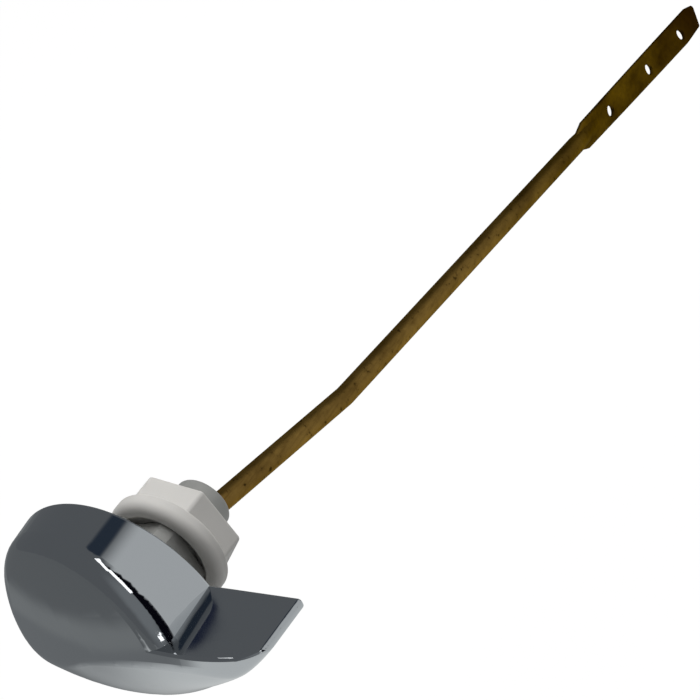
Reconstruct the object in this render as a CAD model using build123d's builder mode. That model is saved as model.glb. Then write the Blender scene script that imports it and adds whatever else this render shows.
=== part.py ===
from build123d import *
import os
from math import atan2, cos, degrees, hypot, radians, sin, sqrt

os.makedirs("parts", exist_ok=True)

# Frame: Y runs along the spindle into the cistern, X to the handle's tail, Z up.
# Y = 0 is the outer face of the cistern wall, where the bushing's flange seats. All lengths in mm.

# Fits, radial
run_clear = 0.06
thread_clear = 0.08
press_clear = 0.02
gap = 0.3

# Handle: outline of the drum and tail at the rear rim, and how it changes towards the front
rim_gap = 0.8
drum_r = 27.65
drum_taper = 0.07
tail_top = 7.96
tail_top_slope = 0.099
tip_x = 50.7
tip_taper = 0.115
tip_thick = 1.9
rear_depth = 0.0
front_depth = 20.2
# Each station: depth from the rear rim, X of the lowest point and its rise from the drum's bottom,
# Z where the round left side ends, run of the flat bottom, slope and length of the sweep up to the tip
stations = (
    (rear_depth, 0.0, 0.0, 0.0, 14.0, 44.0, 25.0),
    (5.0, -1.0, 3.05, 0.6, 14.0, 44.0, 25.0),
    (10.0, -3.0, 8.25, 2.0, 15.0, 43.0, 26.0),
    (15.0, -6.0, 17.05, 5.0, 17.0, 40.0, 25.0),
    (front_depth, -9.0, 31.85, 10.0, 18.0, -5.0, 20.0),
)
# Hollow back: the same outline set in by the wall, with its own blunt tip, whose X is counted from
# the drum's radius, and the tip's thickness
wall = 2.3
hollow_stations = (
    (rear_depth, 0.0, 0.0, 0.0, 12.0, 42.0, 16.0, 9.35, 5.0),
    (5.0, -1.0, 3.05, 0.6, 12.0, 42.0, 15.0, 7.35, 4.0),
    (10.0, -3.0, 8.25, 2.0, 12.0, 38.0, 13.0, 3.85, 2.6),
    (15.0, -6.0, 17.05, 5.0, 12.0, 28.0, 9.0, -1.85, 1.2),
)
quarter = 0.5523

# Handle: bowed front face, leaning back at the top
bow_x = 30.0
bow_y = -20.85
bow_left_r = 190.0
bow_right_r = 60.0
bow_left_end = -40.0
bow_right_end = 60.0
lean = 0.17
front_wall = 2.6
cutter_z = 45.0
cutter_y = 60.0
rim_fillet = 5.0
edge_fillet = 0.7
tip_fillet = 1.1

# Spindle and the handle's hub
shank_r = 5.0
head_r = 6.82
head_end = 30.4
head_round = 0.9
spindle_front = -13.0
flat_z = -4.0
flat_length = 9.0
hub_r = 8.6
hub_back = -3.6
rib_thick = 2.0
rib_back = -8.0
rib_angles = (55.0, 180.0, 300.0)
far_front = -40.0

# Bushing
flange_r = 17.0
flange_t = 3.2
neck_side = 17.4
neck_corner_r = 10.7
neck_turn = 11.0
neck_end = 13.2
thread_r = 7.7
thread_chamfer = 0.6
bushing_end = 23.7

# Stop rib in the drum and its notch in the flange
stop_in = 13.4
stop_wide = 3.4
stop_out = 24.0
notch_in = 13.0
turn = 45.0

# Set screw
screw_r = 1.5
screw_y = -5.8
screw_len = 4.6
socket_af = 1.5
socket_deep = 1.6
access_r = 2.0

# Nut
nut_front = 12.4
nut_flange_r = 14.6
nut_flange_back = 16.74
nut_end = 23.5
nut_flats = 24.2
nut_turn = 48.1
nut_recess_r = 11.4
nut_recess = 2.4
nut_front_round = 2.2
nut_back_round = 0.7
nut_corner_round = 1.2

# Arm: rod from the spindle's head, one bend, flattened blade with chain holes
rod_r = 2.5
arm_root_y = 17.0
arm_cross_y = 15.3
bend_y = 84.15
bend_z = -14.65
bend_r = 14.0
blade_start = 135.0
blade_full = 141.0
blade_fade = 150.0
blade_end = 224.6
fade_part = 0.9
blade_w = 8.1
blade_t = 1.1
blade_round = 0.45
# The blade's flat is turned about the arm at its shoulder, and twists further towards the end
blade_turn = 3.0
blade_twist = 0.31
twist_steps = 3
# End of the blade, counted from its tip: where the upper edge starts to fall, upper corner,
# lower corner, where the lower edge starts to rise
end_points = ((-7.0, 4.4), (-0.3, 3.0), (-4.3, -3.1), (-19.0, -4.4))
end_round = 0.9
# Chain holes, countersunk on both faces
hole_distances = (157.7, 185.3, 209.5)
hole_drop = 0.5
hole_d = 3.0
hole_land = 0.4
far_x = -0.08
far_z = -0.1665

# Worked out from the above
near = Vector(0, bend_y - arm_cross_y, bend_z).normalized()
far = Vector(far_x, 1, far_z).normalized()
side = Vector(1, -far_x, 0).normalized()
arm_root = Vector(0, arm_root_y, bend_z * (arm_root_y - arm_cross_y) / (bend_y - arm_cross_y))
bend = Vector(0, bend_y, bend_z)
notch_half = degrees(atan2(stop_wide / 2 + gap, stop_in))


def outline(depth, low_x, rise, left_z, run, sweep, reach, inset, tip, thick):
    """One closed outline of the handle, in the plane that lies `depth` in front of the rear rim."""
    r = drum_r - drum_taper * depth - inset
    top = tail_top - tail_top_slope * depth - inset
    bottom = rise - drum_r + inset
    end = tip - tip_taper * depth
    left = (-sqrt(r * r - left_z * left_z), left_z)
    corner = (sqrt(r * r - top * top), top)
    tip_low = (end, top - thick)
    swing = (tip_low[0] - reach * cos(radians(sweep)), tip_low[1] - reach * sin(radians(sweep)))
    drop = left_z - bottom
    with BuildSketch(Plane.XZ.offset(rim_gap + depth)) as section:
        with BuildLine():
            ThreePointArc(corner, (0, r), left)
            Bezier(
                left,
                (left[0], left_z - quarter * drop),
                (low_x + quarter * (left[0] - low_x), bottom),
                (low_x, bottom),
            )
            Bezier((low_x, bottom), (low_x + run, bottom), swing, tip_low)
            Line(tip_low, (end, top))
            Line((end, top), corner)
        make_face()
    return section.sketch


def bow(x, radius):
    """How far the bowed front face falls back at x."""
    return radius - sqrt(radius * radius - (x - bow_x) ** 2)


def behind_front(inset):
    """The space behind the bowed, leaning front face, the face set in by `inset`."""
    apex = bow_y + inset - lean * cutter_z
    mid_left = (bow_left_end + bow_x) / 2
    mid_right = (bow_right_end + bow_x) / 2
    with BuildPart() as space:
        with BuildSketch(Plane.XY.offset(-cutter_z)):
            with BuildLine():
                ThreePointArc(
                    (bow_left_end, apex + bow(bow_left_end, bow_left_r)),
                    (mid_left, apex + bow(mid_left, bow_left_r)),
                    (bow_x, apex),
                )
                ThreePointArc(
                    (bow_x, apex),
                    (mid_right, apex + bow(mid_right, bow_right_r)),
                    (bow_right_end, apex + bow(bow_right_end, bow_right_r)),
                )
                Polyline(
                    (bow_right_end, apex + bow(bow_right_end, bow_right_r)),
                    (bow_right_end, apex + cutter_y),
                    (bow_left_end, apex + cutter_y),
                    (bow_left_end, apex + bow(bow_left_end, bow_left_r)),
                )
            make_face()
        extrude(amount=2 * cutter_z * hypot(1, lean), dir=(0, lean, 1))
    return space.part


def on_ring(radius, angle):
    """Point at a radius and an angle from X towards Z."""
    return (radius * cos(radians(angle)), radius * sin(radians(angle)))


def along_arm(distance):
    """Point on the arm's centre line at a distance past the bend."""
    return bend + far * distance


def blade_side(distance):
    """Direction square to the blade's flat at a distance past the bend."""
    return side.rotate(Axis((0, 0, 0), far), -blade_turn - blade_twist * (distance - blade_full))


def blade_plane(distance):
    """Plane across the blade: local x is its thickness, local y its width."""
    return Plane(origin=along_arm(distance), x_dir=blade_side(distance), z_dir=far)


def flat_plane(distance, way=1):
    """Plane of the blade's middle, facing one way or the other: local y is its width."""
    return Plane(origin=along_arm(distance), x_dir=far * way, z_dir=blade_side(distance) * way)


def along_y(y):
    """Sketch plane square to the spindle at y, local axes X and Z."""
    return Plane.XZ.offset(-y)


with BuildPart() as cavity:
    loft([outline(*s[:7], wall, drum_r + s[7], s[8]) for s in hollow_stations])
    add(behind_front(front_wall), mode=Mode.INTERSECT)
    with BuildSketch(along_y(hub_back)):
        Circle(hub_r)
    extrude(amount=hub_back - far_front, mode=Mode.SUBTRACT)
    with BuildSketch(along_y(rib_back)):
        for angle in rib_angles:
            with Locations(Rotation(0, 0, angle)):
                with Locations((drum_r / 2 + shank_r, 0)):
                    Rectangle(drum_r, rib_thick)
    extrude(amount=rib_back - far_front, mode=Mode.SUBTRACT)
    with BuildSketch(along_y(0)):
        with Locations((0, (stop_in + stop_out) / 2)):
            Rectangle(stop_wide, stop_out - stop_in)
    extrude(amount=-far_front, mode=Mode.SUBTRACT)

with BuildPart() as handle:
    loft([outline(*s, 0.0, tip_x, tip_thick) for s in stations])
    add(behind_front(0.0), mode=Mode.INTERSECT)
    front = handle.faces().filter_by(GeomType.EXTRUSION)
    fillet(front.edges().sort_by(SortBy.LENGTH)[-1], rim_fillet)
    tip = handle.faces().sort_by(Axis.X)[-1]
    fillet(tip.edges().sort_by(Axis.Z)[-1], tip_fillet)
    tail = handle.faces().filter_by(lambda f: f.center().X > drum_r and f.normal_at(f.center()).Z > 0.9)
    creases = tail.edges().sort_by(Axis.Y)[:2]
    tip = handle.faces().sort_by(Axis.X)[-1]
    back = handle.faces().sort_by(Axis.Y)[-1]
    fillet(ShapeList(set(creases + tip.edges().sort_by(Axis.Z)[:1] + back.edges())), edge_fillet)
    add(cavity.part, mode=Mode.SUBTRACT)
    with BuildSketch(along_y(hub_back)):
        Circle(shank_r + press_clear)
    extrude(amount=hub_back - spindle_front + gap, mode=Mode.SUBTRACT)
    with BuildSketch(Plane.XY):
        with Locations((0, screw_y)):
            Circle(screw_r + press_clear)
    extrude(amount=-(hub_r + gap), mode=Mode.SUBTRACT)
    with BuildSketch(Plane.XY.offset(-(hub_r + gap))):
        with Locations((0, screw_y)):
            Circle(access_r)
    extrude(amount=-drum_r, mode=Mode.SUBTRACT)
handle.part.label = "handle"
export_step(handle.part, "parts/handle.step")

with BuildPart() as bushing:
    with BuildSketch(along_y(0)):
        Circle(flange_r)
    extrude(amount=flange_t)
    with BuildSketch(along_y(0)):
        Rectangle(neck_side, neck_side, rotation=neck_turn)
        Circle(neck_corner_r, mode=Mode.INTERSECT)
    extrude(amount=-neck_end)
    with BuildSketch(along_y(neck_end)):
        Circle(thread_r)
    extrude(amount=-(bushing_end - neck_end))
    chamfer(bushing.faces().sort_by(Axis.Y)[-1].edges(), thread_chamfer)
    with BuildSketch(along_y(-flange_t)):
        Circle(shank_r + run_clear)
    extrude(amount=-(bushing_end + flange_t), mode=Mode.SUBTRACT)
    with BuildSketch(along_y(0)):
        with BuildLine():
            RadiusArc(on_ring(notch_in, 90 + notch_half), on_ring(notch_in, 90 - turn - notch_half), notch_in)
            Line(on_ring(notch_in, 90 - turn - notch_half), on_ring(2 * flange_r, 90 - turn - notch_half))
            Line(on_ring(2 * flange_r, 90 - turn - notch_half), on_ring(2 * flange_r, 90 + notch_half))
            Line(on_ring(2 * flange_r, 90 + notch_half), on_ring(notch_in, 90 + notch_half))
        make_face()
    extrude(amount=flange_t, mode=Mode.SUBTRACT)
bushing.part.label = "bushing"
export_step(bushing.part, "parts/bushing.step")

with BuildPart() as spindle:
    with BuildSketch(along_y(bushing_end + gap)):
        Circle(head_r)
    extrude(amount=-(head_end - bushing_end - gap))
    fillet(spindle.faces().sort_by(Axis.Y)[-1].edges(), head_round)
    with BuildSketch(along_y(spindle_front)):
        Circle(shank_r)
    extrude(amount=-(bushing_end + gap - spindle_front))
    with BuildSketch(along_y(spindle_front)):
        with Locations((0, flat_z - shank_r)):
            Rectangle(4 * shank_r, 2 * shank_r)
    extrude(amount=-flat_length, mode=Mode.SUBTRACT)
    with BuildSketch(Plane(origin=arm_root, z_dir=near)):
        Circle(rod_r + press_clear)
    extrude(amount=2 * head_end, mode=Mode.SUBTRACT)
spindle.part.label = "spindle"
export_step(spindle.part, "parts/spindle.step")

with BuildPart() as set_screw:
    with BuildSketch(Plane.XY.offset(flat_z - press_clear)):
        with Locations((0, screw_y)):
            Circle(screw_r)
    extrude(amount=-screw_len)
    with BuildSketch(Plane.XY.offset(flat_z - press_clear - screw_len)):
        with Locations((0, screw_y)):
            RegularPolygon(socket_af / 2, 6, major_radius=False)
    extrude(amount=socket_deep, mode=Mode.SUBTRACT)
set_screw.part.label = "set_screw"
export_step(set_screw.part, "parts/set_screw.step")

with BuildPart() as nut:
    with BuildSketch(along_y(nut_front)):
        Circle(nut_flange_r)
    extrude(amount=-(nut_flange_back - nut_front))
    fillet(nut.faces().sort_by(Axis.Y)[0].edges(), nut_front_round)
    fillet(nut.faces().sort_by(Axis.Y)[-1].edges(), nut_back_round)
    with BuildSketch(along_y(nut_front + nut_recess)) as hexagon:
        RegularPolygon(nut_flats / 2, 6, major_radius=False, rotation=nut_turn)
        fillet(hexagon.vertices(), nut_corner_round)
    extrude(amount=-(nut_end - nut_front - nut_recess))
    fillet(nut.faces().sort_by(Axis.Y)[-1].edges(), nut_back_round)
    with BuildSketch(along_y(nut_front)):
        Circle(nut_recess_r)
    extrude(amount=-nut_recess, mode=Mode.SUBTRACT)
    with BuildSketch(along_y(nut_front)):
        Circle(thread_r + thread_clear)
    extrude(amount=-(nut_end - nut_front), mode=Mode.SUBTRACT)
nut.part.label = "nut"
export_step(nut.part, "parts/nut.step")

with BuildPart() as blade:
    with BuildSketch(blade_plane(blade_start)):
        RectangleRounded(blade_t, 2 * (rod_r - blade_round), blade_round)
    with BuildSketch(blade_plane(blade_full)):
        RectangleRounded(blade_t, blade_w, blade_round)
    loft()
    for k in range(twist_steps + 1):
        with BuildSketch(blade_plane(blade_full + k * (blade_end - blade_full) / twist_steps)):
            RectangleRounded(blade_t, blade_w, blade_round)
    loft()
    with BuildSketch(flat_plane(blade_end)) as waste:
        with BuildLine():
            Polyline(*end_points, (gap, -blade_w), (gap, blade_w), close=True)
        make_face()
        for corner in end_points[1:3]:
            fillet(waste.vertices().sort_by_distance(corner)[0], end_round)
    extrude(amount=rod_r, both=True, mode=Mode.SUBTRACT)

with BuildPart() as arm:
    with BuildLine() as centre:
        Polyline(arm_root, bend, along_arm(blade_start))
        fillet(centre.vertices().sort_by(Axis.Y)[1], bend_r)
    with BuildSketch(Plane(origin=arm_root, z_dir=near)):
        Circle(rod_r)
    sweep()
    with BuildSketch(blade_plane(blade_start)):
        Circle(rod_r)
    with BuildSketch(blade_plane(blade_fade)):
        Ellipse(fade_part * blade_t / 2, fade_part * rod_r)
    loft()
    add(blade.part)
    for distance in hole_distances:
        for way in (1, -1):
            middle = flat_plane(distance, way)
            with BuildSketch(middle):
                with Locations((0, -hole_drop)):
                    Circle(hole_d / 2)
            extrude(amount=hole_land / 2, mode=Mode.SUBTRACT)
            with BuildSketch(middle.offset(hole_land / 2)):
                with Locations((0, -hole_drop)):
                    Circle(hole_d / 2)
            extrude(amount=blade_t, taper=-45, mode=Mode.SUBTRACT)
arm.part.label = "arm"
export_step(arm.part, "parts/arm.step")
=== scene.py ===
import bpy
import numpy as np
from mathutils import Matrix, Vector


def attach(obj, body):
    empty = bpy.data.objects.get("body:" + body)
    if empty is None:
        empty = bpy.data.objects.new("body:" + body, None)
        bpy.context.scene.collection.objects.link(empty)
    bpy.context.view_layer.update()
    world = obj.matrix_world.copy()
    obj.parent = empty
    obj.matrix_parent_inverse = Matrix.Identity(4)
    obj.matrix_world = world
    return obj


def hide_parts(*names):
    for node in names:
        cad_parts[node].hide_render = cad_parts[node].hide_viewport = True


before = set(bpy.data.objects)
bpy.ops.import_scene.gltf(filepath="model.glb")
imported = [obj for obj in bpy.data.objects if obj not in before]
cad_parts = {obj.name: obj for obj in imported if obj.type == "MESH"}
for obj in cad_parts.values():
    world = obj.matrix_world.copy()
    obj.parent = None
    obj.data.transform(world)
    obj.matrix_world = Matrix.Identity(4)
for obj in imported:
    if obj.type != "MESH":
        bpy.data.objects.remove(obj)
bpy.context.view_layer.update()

# Metres in a millimetre. X runs to the handle's tail, Y along the spindle into the cistern, Z up.
MM = 0.001

# Camera: place, axes and focal length in photo widths
CAMERA_AT = (0.36912, -0.28127, 0.32785)
CAMERA_RIGHT = (0.803, 0.488, -0.341)
CAMERA_UP = (-0.058, 0.634, 0.771)
FOCAL_WIDTHS = 2600 / 700
SENSOR = 36.0

# Bushing in millimetres, its places measured along Y from the cistern wall, and its angles in degrees
FLANGE_R = 17.0
FLANGE_FRONT = -3.2
NOTCH_R = 13.0
NOTCH_ENDS = np.array([36.51, 98.49])
NECK_HALF = 8.7
NECK_CORNER_R = 10.7
NECK_TURN = 11
NECK_BACK = 13.2
THREAD_R = 7.7
THREAD_DEPTH = 0.65
THREAD_PITCH = 1.5
THREAD_BACK = 23.7
THREAD_CHAMFER = 0.6
BORE_R = 5.06

# Grid of the bushing: the angle between columns, the step at each end of the notch, and the thread's rows
ANGLE_STEP = 1.5
NOTCH_STEP = 0.01
THREAD_ROWS = 169

# Studio: floor height and half width, and the radius of the wall that the chrome mirrors
FLOOR_Z = -0.13
FLOOR_HALF = 4.0
WALL_R = 1.6

# Way from the part to the brightest of the soft fill: above and behind
FILL_FROM = (0.1, 0.55, 0.83)

# White floor: strength and share of its own white in the camera's view
WHITE_LEVEL = 1.22
WHITE_SHARE = 0.76

# Floor in the mirrors, a painted reflection, in metres: where the painted dark patch begins and is full, on
# the left across a slanted edge and in front, where the painted pale grey of the paper deepens to the right,
# and where a paler painted band across the dark patch rises and falls. No cloth lies on the floor; these
# tones are painted in for mirrors only.
PAINTED_DARK_EDGE = (1, -0.25, 0)
PAINTED_DARK_LEFT = (-0.06, -0.135)
PAINTED_DARK_FRONT = (-0.36, -0.6)
PAINTED_GREY_RIGHT = (0.05, 0.35)
PAINTED_BAND_ACROSS = (0.9, 0.46, 0)
PAINTED_BAND_RISE = (-0.318, -0.3)
PAINTED_BAND_FALL = (-0.292, -0.283)

# Zones of the studio wall, later ones over earlier ones: colour, then each bound as azimuth from +Y towards
# +X, elevation, and the angles from there at which the zone fades in and is full
STUDIO_BASE = "#626568"
STUDIO_ZONES = (
    ("#7c8083", ((138, 28, 42, 14),)),
    ("#c1c4c5", ((62, 15, 64, 46), (-11, 0, 92.5, 87.5))),
    ("#2e3743", ((-6, 71, 10, 6),)),
    ("#080810", ((20, 0, 92, 88), (169, 0, 92.5, 87.5))),
)

# Lit cards that the chrome mirrors: name, azimuth, elevation, the angles it fills, and distance in metres
CARD_LEVEL = 1.9
STUDIO_CARDS = (
    ("strip_light_top", 130, 63.7, 4.6, 12.3, 0.0475),
    ("strip_light", 112, 60, 12, 27, 1.25),
    ("small_window", 126, 3, 16, 6, 1.2),
)

# Navy flag: its height, and its outline from above, straight on the left and rounded on the right
FLAG_Z = 0.553
FLAG_OUTLINE = np.array([
    (-0.488, 0.3057), (-0.4745, 0.3057), (-0.468, 0.301), (-0.4645, 0.2915),
    (-0.465, 0.281), (-0.4687, 0.2745), (-0.478, 0.2722), (-0.488, 0.2716),
])


def linear(colour):
    """sRGB hex to linear RGBA: each channel is c / 12.92 below 0.04045, else ((c + 0.055) / 1.055) ^ 2.4."""
    c = np.array([int(colour[i:i + 2], 16) for i in (1, 3, 5)]) / 255
    rgb = np.where(c <= 0.04045, c / 12.92, ((c + 0.055) / 1.055) ** 2.4)
    return (*rgb, 1.0)


def add(tree, kind, inputs=None, give=0, **settings):
    """Adds one shader node with its settings, gives each input a value or a link, and returns one output.

    Inputs go by name, or by number where names repeat: a colour Mix has its factor at 0 and its colours at 6
    and 7, and a MapRange has its value at 0, its range at 1 and 2 and the ends of its result at 3 and 4.
    """
    made = tree.nodes.new("ShaderNode" + kind)
    for key, value in settings.items():
        setattr(made, key, value)
    for key, value in (inputs or {}).items():
        if isinstance(value, bpy.types.NodeSocket):
            tree.links.new(value, made.inputs[key])
        else:
            made.inputs[key].default_value = value
    return made.outputs[give] if made.outputs else None


def new_material(name):
    """An empty node material and its node tree."""
    made = bpy.data.materials.new(name)
    made.use_nodes = True
    made.node_tree.nodes.clear()
    return made, made.node_tree


def chrome_plate():
    # Bright chrome over a polished casting: a clear mirror, cool grey, with faint smears and polishing waves.
    made, tree = new_material("chrome_plate")
    place = add(tree, "TexCoord", give="Object")
    smear = add(tree, "TexNoise", {"Vector": place, "Scale": 1 / (9 * MM), "Detail": 4.0})
    wave = add(tree, "TexNoise", {"Vector": place, "Scale": 1 / (14 * MM), "Detail": 1.0})
    rough = add(tree, "MapRange", {0: smear, 1: 0.35, 2: 0.7, 3: 0.03, 4: 0.06})
    normal = add(tree, "Bump", {"Height": wave, "Strength": 0.02, "Distance": 0.3 * MM})
    surface = add(tree, "BsdfPrincipled", {
        "Base Color": linear("#c8cbce"),
        "Metallic": 1.0,
        "Roughness": rough,
        "Normal": normal,
    })
    add(tree, "OutputMaterial", {"Surface": surface})
    return made


def zinc_casting():
    # Tumbled zinc die casting: even mid grey, satin, with a fine grain and soft clouding. The grain is drawn
    # coarser than it is, so that it shows.
    made, tree = new_material("zinc_casting")
    place = add(tree, "TexCoord", give="Object")
    cloud = add(tree, "TexNoise", {"Vector": place, "Scale": 1 / (4 * MM), "Detail": 4.0})
    grain = add(tree, "TexNoise", {"Vector": place, "Scale": 1 / (0.35 * MM), "Detail": 2.0})
    colour = add(tree, "Mix", {0: cloud, 6: linear("#9a9a97"), 7: linear("#aeaeab")}, 2, data_type="RGBA")
    rough = add(tree, "MapRange", {0: cloud, 1: 0.3, 2: 0.7, 3: 0.42, 4: 0.56})
    normal = add(tree, "Bump", {"Height": grain, "Strength": 0.12, "Distance": 0.05 * MM})
    surface = add(tree, "BsdfPrincipled", {
        "Base Color": colour,
        "Metallic": 0.35,
        "Roughness": rough,
        "Normal": normal,
    })
    add(tree, "OutputMaterial", {"Surface": surface})
    return made


def blackened_steel():
    # Black-oxide screw steel: near black, with a low oily gloss.
    made, tree = new_material("blackened_steel")
    place = add(tree, "TexCoord", give="Object")
    cloud = add(tree, "TexNoise", {"Vector": place, "Scale": 1 / (1.2 * MM), "Detail": 3.0})
    colour = add(tree, "Mix", {0: cloud, 6: linear("#2c2c2e"), 7: linear("#4a4a4c")}, 2, data_type="RGBA")
    rough = add(tree, "MapRange", {0: cloud, 1: 0.3, 2: 0.7, 3: 0.32, 4: 0.5})
    surface = add(tree, "BsdfPrincipled", {"Base Color": colour, "Metallic": 1.0, "Roughness": rough})
    add(tree, "OutputMaterial", {"Surface": surface})
    return made


def moulded_nylon():
    # Moulded nylon: warm grey white, satin, slightly translucent, with faint flow clouding. The mould's grain
    # is drawn coarser than it is, so that it shows.
    made, tree = new_material("moulded_nylon")
    place = add(tree, "TexCoord", give="Object")
    cloud = add(tree, "TexNoise", {"Vector": place, "Scale": 1 / (7 * MM), "Detail": 3.0})
    grain = add(tree, "TexNoise", {"Vector": place, "Scale": 1 / (0.5 * MM), "Detail": 2.0})
    colour = add(tree, "Mix", {0: cloud, 6: linear("#d1cfcb"), 7: linear("#dad8d4")}, 2, data_type="RGBA")
    rough = add(tree, "MapRange", {0: cloud, 1: 0.3, 2: 0.7, 3: 0.42, 4: 0.52})
    normal = add(tree, "Bump", {"Height": grain, "Strength": 0.06, "Distance": 0.04 * MM})
    surface = add(tree, "BsdfPrincipled", {
        "Base Color": colour,
        "Roughness": rough,
        "Subsurface Weight": 0.1,
        "Subsurface Radius": (1.0, 0.9, 0.8),
        "Subsurface Scale": 1.0 * MM,
        "Normal": normal,
    })
    add(tree, "OutputMaterial", {"Surface": surface})
    return made


def aged_brass():
    # Drawn brass rod, tarnished brown: olive sheen, drawn streaks, dark specks, and a darker flattened end.
    made, tree = new_material("aged_brass")
    place = add(tree, "TexCoord", give="Object")
    along = add(tree, "SeparateXYZ", {0: place}, "Y")
    drawn = add(tree, "Mapping", {"Vector": place, "Scale": (1, 1 / 22, 1)})
    patch = add(tree, "Mapping", {"Vector": place, "Scale": (1, 1 / 2.5, 1)})
    cloud = add(tree, "TexNoise", {"Vector": patch, "Scale": 1 / (7 * MM), "Detail": 5.0})
    streak = add(tree, "TexNoise", {"Vector": drawn, "Scale": 1 / (0.7 * MM), "Detail": 3.0})
    speck = add(tree, "TexNoise", {"Vector": place, "Scale": 1 / (1.6 * MM), "Detail": 4.0})
    share = add(tree, "MapRange", {0: cloud, 1: 0.35, 2: 0.68})
    rod = add(tree, "Mix", {0: share, 6: linear("#7a5e2e"), 7: linear("#a07f42")}, 2, data_type="RGBA")
    share = add(tree, "MapRange", {0: streak, 1: 0.5, 2: 0.75, 4: 0.35})
    rod = add(tree, "Mix", {0: share, 6: rod, 7: linear("#503714")}, 2, data_type="RGBA")
    share = add(tree, "MapRange", {0: speck, 1: 0.62, 2: 0.72, 4: 0.8})
    rod = add(tree, "Mix", {0: share, 6: rod, 7: linear("#2a1b06")}, 2, data_type="RGBA")
    share = add(tree, "MapRange", {0: cloud, 1: 0.35, 2: 0.66})
    blade = add(tree, "Mix", {0: share, 6: linear("#38260c"), 7: linear("#6c5216")}, 2, data_type="RGBA")
    share = add(tree, "MapRange", {0: along, 1: 265 * MM, 2: 300 * MM})
    blade = add(tree, "Mix", {0: share, 6: blade, 7: linear("#331d08")}, 2, data_type="RGBA")
    share = add(tree, "MapRange", {0: along, 1: 140 * MM, 2: 235 * MM})
    colour = add(tree, "Mix", {0: share, 6: rod, 7: blade}, 2, data_type="RGBA")
    rough = add(tree, "MapRange", {0: speck, 1: 0.3, 2: 0.75, 3: 0.34, 4: 0.58})
    normal = add(tree, "Bump", {"Height": streak, "Strength": 0.15, "Distance": 0.05 * MM})
    surface = add(tree, "BsdfPrincipled", {
        "Base Color": colour,
        "Metallic": 1.0,
        "Specular Tint": linear("#e6d2ac"),
        "Roughness": rough,
        "Normal": normal,
    })
    add(tree, "OutputMaterial", {"Surface": surface})
    return made


def dress(name, material):
    """Gives a CAD node its finish."""
    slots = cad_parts[name].data.materials
    slots.clear()
    slots.append(material)


def ring_faces(rows, columns):
    """Quads of a grid that closes on itself both ways."""
    row, column = np.meshgrid(np.arange(rows), np.arange(columns), indexing="ij")
    below, beside = (row + 1) % rows, (column + 1) % columns
    here, there = row * columns, below * columns
    corners = (here + column, there + column, there + beside, here + beside)
    return np.stack(corners, -1).reshape(-1, 4)


def bushing_surface():
    """Bushing as radius over angle and place along Y, angle from +X to +Z, from the bore round and back.

    Flange: its radius, and a smaller one in the stop's notch. Neck: a turned square, which is its half width
    over the larger of |cos| and |sin|, cut round at the corners. Thread: its radius less its depth times the
    square of the sine of half the turn, where the turn is Y over the pitch plus the angle; it fades in over
    the first pitch and ends in a chamfer.
    """
    corner = np.degrees(np.arccos(NECK_HALF / NECK_CORNER_R))
    flats = NECK_TURN + np.arange(0, 360, 90)
    edges = [NOTCH_ENDS - NOTCH_STEP, NOTCH_ENDS + NOTCH_STEP, flats - corner, flats + corner]
    angle = np.concatenate([np.arange(0, 360, ANGLE_STEP), *edges])
    angle = np.unique(np.round(angle % 360, 4))
    a = np.radians(angle)
    bore = np.full_like(a, BORE_R)
    flange = np.where((angle > NOTCH_ENDS[0]) & (angle < NOTCH_ENDS[1]), NOTCH_R, FLANGE_R)
    turned = a - np.radians(NECK_TURN)
    square = NECK_HALF / np.maximum(np.abs(np.cos(turned)), np.abs(np.sin(turned)))
    neck = np.minimum(NECK_CORNER_R, square)
    along = np.linspace(NECK_BACK, THREAD_BACK, THREAD_ROWS)[:, None]
    groove = THREAD_DEPTH * np.sin(np.pi * (along / THREAD_PITCH + a / (2 * np.pi))) ** 2
    groove = groove * np.clip((along - NECK_BACK) / THREAD_PITCH, 0, 1)
    chamfer = np.clip(along - (THREAD_BACK - THREAD_CHAMFER), 0, THREAD_CHAMFER)
    thread = THREAD_R - np.maximum(groove, chamfer)
    radius = np.vstack([bore, flange, flange, neck, neck, thread, bore])
    y = np.concatenate([[FLANGE_FRONT, FLANGE_FRONT, 0, 0, NECK_BACK], along[:, 0], [THREAD_BACK]])
    y = np.repeat(y[:, None], len(a), axis=1)
    points = np.stack([radius * np.cos(a), y, radius * np.sin(a)], -1) * MM
    return points.reshape(-1, 3), ring_faces(*radius.shape)


def build_bushing(material):
    """The bushing with its thread cut, in place of the plain one."""
    points, faces = bushing_surface()
    mesh = bpy.data.meshes.new("threaded_bushing")
    mesh.from_pydata(points.tolist(), [], faces.tolist())
    mesh.materials.append(material)
    mesh.polygons.foreach_set("use_smooth", np.ones(len(faces), dtype=bool))
    mesh.set_sharp_from_angle(angle=np.radians(40))
    made = bpy.data.objects.new("threaded_bushing", mesh)
    bpy.context.scene.collection.objects.link(made)
    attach(made, "bushing")
    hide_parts("bushing")


def stage_mesh(name, points, faces, material):
    """A piece of the studio, from points and faces."""
    mesh = bpy.data.meshes.new(name)
    mesh.from_pydata(points.tolist(), [], faces.tolist())
    mesh.materials.append(material)
    made = bpy.data.objects.new(name, mesh)
    bpy.context.scene.collection.objects.link(made)
    return made


def seen_in_mirrors_only(obj):
    """The studio's wall and cards show in reflections, and are neither in the picture nor in the light."""
    obj.visible_camera = False
    obj.visible_diffuse = False
    obj.visible_shadow = False
    obj.visible_transmission = False
    obj.visible_volume_scatter = False


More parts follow.
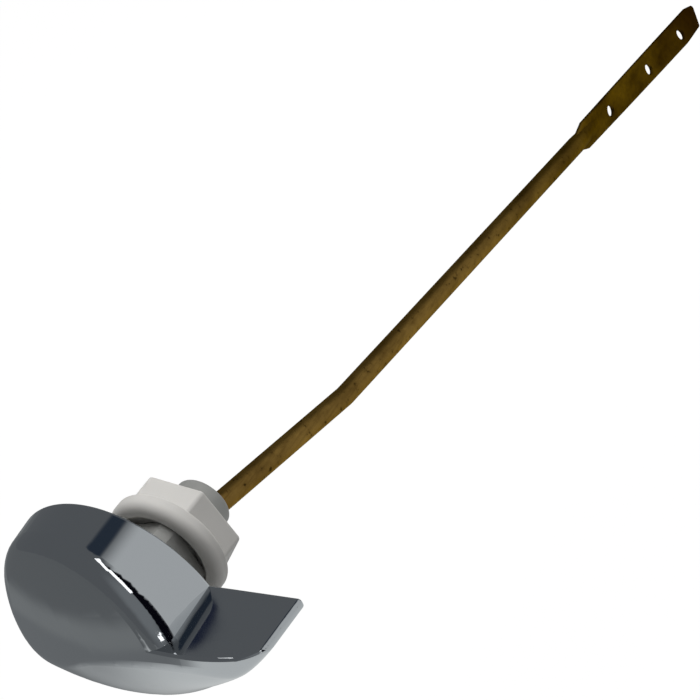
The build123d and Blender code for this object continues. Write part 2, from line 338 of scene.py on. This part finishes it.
def white_floor():
    # Matt white paper that reads as white to the camera and still takes a soft shadow. Mirrors see a painted
    # reflection instead: pale grey, with painted dark patches on the left and in front; no cloth lies there.
    made, tree = new_material("white_floor")
    place = add(tree, "TexCoord", give="Object")
    paper = add(tree, "BsdfDiffuse", {"Color": linear("#a8a8a8")})
    white = add(tree, "Emission", {"Strength": WHITE_LEVEL})
    ray = add(tree, "LightPath", give="Is Camera Ray")
    seen = add(tree, "Math", {0: ray, 1: WHITE_SHARE}, operation="MULTIPLY")
    shown = add(tree, "MixShader", {0: seen, 1: paper, 2: white})
    x = add(tree, "SeparateXYZ", {0: place}, "X")
    y = add(tree, "SeparateXYZ", {0: place}, "Y")
    edge = add(tree, "VectorMath", {0: place, 1: PAINTED_DARK_EDGE}, "Value", operation="DOT_PRODUCT")
    across = add(tree, "VectorMath", {0: place, 1: PAINTED_BAND_ACROSS}, "Value", operation="DOT_PRODUCT")
    left, front, right, rise, fall = [
        add(tree, "MapRange", {0: value, 1: begin, 2: full}, interpolation_type="SMOOTHSTEP")
        for value, (begin, full) in (
            (edge, PAINTED_DARK_LEFT), (y, PAINTED_DARK_FRONT), (x, PAINTED_GREY_RIGHT), (across, PAINTED_BAND_RISE), (across, PAINTED_BAND_FALL),
        )
    ]
    # Painted reflection: dark patches on the left and in front, seen only in mirrors, with a paler painted
    # band across them.
    painted_dark = add(tree, "Math", {0: left, 1: front}, operation="MAXIMUM")
    painted_paper = add(tree, "Mix", {0: right, 6: linear("#d0d3d3"), 7: linear("#c6c9c9")}, 2, data_type="RGBA")
    shade = add(tree, "Mix", {0: rise, 6: linear("#696c6e"), 7: linear("#838687")}, 2, data_type="RGBA")
    shade = add(tree, "Mix", {0: fall, 6: shade, 7: linear("#787b7d")}, 2, data_type="RGBA")
    colour = add(tree, "Mix", {0: painted_dark, 6: painted_paper, 7: shade}, 2, data_type="RGBA")
    mirrored = add(tree, "Emission", {"Color": colour})
    glossy = add(tree, "LightPath", give="Is Glossy Ray")
    surface = add(tree, "MixShader", {0: glossy, 1: shown, 2: mirrored})
    add(tree, "OutputMaterial", {"Surface": surface})
    return made


def lit_card(name, colour, level):
    # Evenly lit studio card.
    made, tree = new_material(name)
    surface = add(tree, "Emission", {"Color": linear(colour), "Strength": level})
    add(tree, "OutputMaterial", {"Surface": surface})
    return made


def heading(azimuth, elevation):
    """Unit vector: azimuth in degrees from +Y towards +X, elevation above the horizon."""
    a, e = np.radians(azimuth), np.radians(elevation)
    return np.array([np.sin(a) * np.cos(e), np.cos(a) * np.cos(e), np.sin(e)])


def studio_finish():
    # Dark grey studio wall with a broad light panel on the right, a navy patch overhead and a black drape
    # beside the panel. A round zone is where the direction's dot product with its axis passes a cosine; a
    # side zone is where the dot product with a level direction is over zero.
    made, tree = new_material("studio_wall")
    place = add(tree, "TexCoord", give="Object")
    way = add(tree, "VectorMath", {0: place}, operation="NORMALIZE")
    colour = linear(STUDIO_BASE)
    for zone_colour, rounds in STUDIO_ZONES:
        mask = 1.0
        for azimuth, elevation, outer, inner in rounds:
            axis = heading(azimuth, elevation)
            along = add(tree, "VectorMath", {0: way, 1: axis}, "Value", operation="DOT_PRODUCT")
            edge = {0: along, 1: np.cos(np.radians(outer)), 2: np.cos(np.radians(inner))}
            part = add(tree, "MapRange", edge, interpolation_type="SMOOTHSTEP")
            mask = add(tree, "Math", {0: part, 1: mask}, operation="MULTIPLY")
        colour = add(tree, "Mix", {0: mask, 6: colour, 7: linear(zone_colour)}, 2, data_type="RGBA")
    surface = add(tree, "Emission", {"Color": colour})
    add(tree, "OutputMaterial", {"Surface": surface})
    return made


def studio_wall():
    """Ball of studio wall: its radius times the unit vector of azimuth and elevation on a grid.

    The last row of faces, from the top back to the foot, is left out.
    """
    azimuth = np.linspace(0, 360, 97)[:-1]
    elevation = np.linspace(-12, 90, 26)
    a, e = np.meshgrid(azimuth, elevation)
    points = np.moveaxis(heading(a, e), 0, -1).reshape(-1, 3) * WALL_R
    faces = ring_faces(len(elevation), len(azimuth))[:-len(azimuth)]
    seen_in_mirrors_only(stage_mesh("studio_wall", points, faces, studio_finish()))


def studio_card(name, azimuth, elevation, wide, tall, distance):
    """Rectangle facing the handle from a direction; wide and tall are the angles it fills, in degrees."""
    away = heading(azimuth, elevation)
    across = np.cross(away, (0, 0, 1))
    across = across / np.linalg.norm(across)
    up = np.cross(across, away)
    half = [distance * np.tan(np.radians(angle / 2)) for angle in (wide, tall)]
    corners = np.array([(-1, -1), (1, -1), (1, 1), (-1, 1)]) * half
    points = away * distance + corners[:, :1] * across + corners[:, 1:] * up
    card = stage_mesh(name, points, np.arange(4)[None, :], lit_card(name + "_finish", "#ffffff", CARD_LEVEL))
    seen_in_mirrors_only(card)


def navy_flag():
    """Small level flag, above on the left, whose image lies on the tail beside the drum."""
    points = np.column_stack([FLAG_OUTLINE, np.full(len(FLAG_OUTLINE), FLAG_Z)])
    finish = lit_card("navy_flag_finish", "#0e1830", 1.0)
    seen_in_mirrors_only(stage_mesh("navy_flag", points, np.arange(len(points))[None, :], finish))


def soft_box(name, place, target, size, power):
    """Square area lamp aimed at a point, kept out of the mirrors."""
    lamp = bpy.data.lights.new(name, "AREA")
    lamp.size = size
    lamp.energy = power
    made = bpy.data.objects.new(name, lamp)
    made.location = place
    made.rotation_mode = "QUATERNION"
    made.rotation_quaternion = (Vector(target) - Vector(place)).to_track_quat("-Z", "Y")
    made.visible_glossy = False
    bpy.context.scene.collection.objects.link(made)


def build_world(dim, bright):
    """White to the camera; to everything else a soft fill, dim in front and bright from above and behind."""
    world = bpy.data.worlds.new("studio")
    world.use_nodes = True
    tree = world.node_tree
    tree.nodes.clear()
    way = add(tree, "TexCoord", give="Generated")
    facing = add(tree, "VectorMath", {0: way, 1: FILL_FROM}, "Value", operation="DOT_PRODUCT")
    fill = add(tree, "MapRange", {0: facing, 1: -1.0, 2: 1.0, 3: dim, 4: bright})
    ray = add(tree, "LightPath", give="Is Camera Ray")
    level = add(tree, "MapRange", {0: ray, 3: fill, 4: 1.0})
    sky = add(tree, "Background", {"Color": (1, 1, 1, 1), "Strength": level})
    add(tree, "OutputWorld", {"Surface": sky})
    bpy.context.scene.world = world


def build_camera():
    """Camera at the photograph's place, with its roll and its field of view."""
    right = Vector(CAMERA_RIGHT).normalized()
    back = right.cross(Vector(CAMERA_UP)).normalized()
    up = back.cross(right)
    data = bpy.data.cameras.new("camera")
    data.sensor_width = SENSOR
    data.lens = FOCAL_WIDTHS * SENSOR
    data.clip_start = 0.01
    data.clip_end = 20.0
    made = bpy.data.objects.new("camera", data)
    turn = Matrix((right, up, back)).transposed()
    made.matrix_world = Matrix.Translation(CAMERA_AT) @ turn.to_4x4()
    bpy.context.scene.collection.objects.link(made)
    bpy.context.scene.camera = made


def build_studio():
    """Floor, fill, soft box, and the wall and cards that the chrome mirrors."""
    corners = np.array([(-1, -1, 0), (1, -1, 0), (1, 1, 0), (-1, 1, 0)]) * FLOOR_HALF + (0, 0, FLOOR_Z)
    stage_mesh("floor", corners, np.arange(4)[None, :], white_floor())
    build_world(dim=0.0, bright=0.5)
    soft_box("soft_box_top", place=(-0.12, 0.3, 1.0), target=(0, 0.05, 0), size=0.7, power=7.0)
    studio_wall()
    for card in STUDIO_CARDS:
        studio_card(*card)
    navy_flag()


zinc = zinc_casting()
dress("handle", chrome_plate())
build_bushing(zinc)
dress("spindle", zinc)
dress("set_screw", blackened_steel())
dress("nut", moulded_nylon())
dress("arm", aged_brass())
build_camera()
build_studio()
bpy.context.scene.view_settings.view_transform = "Standard"
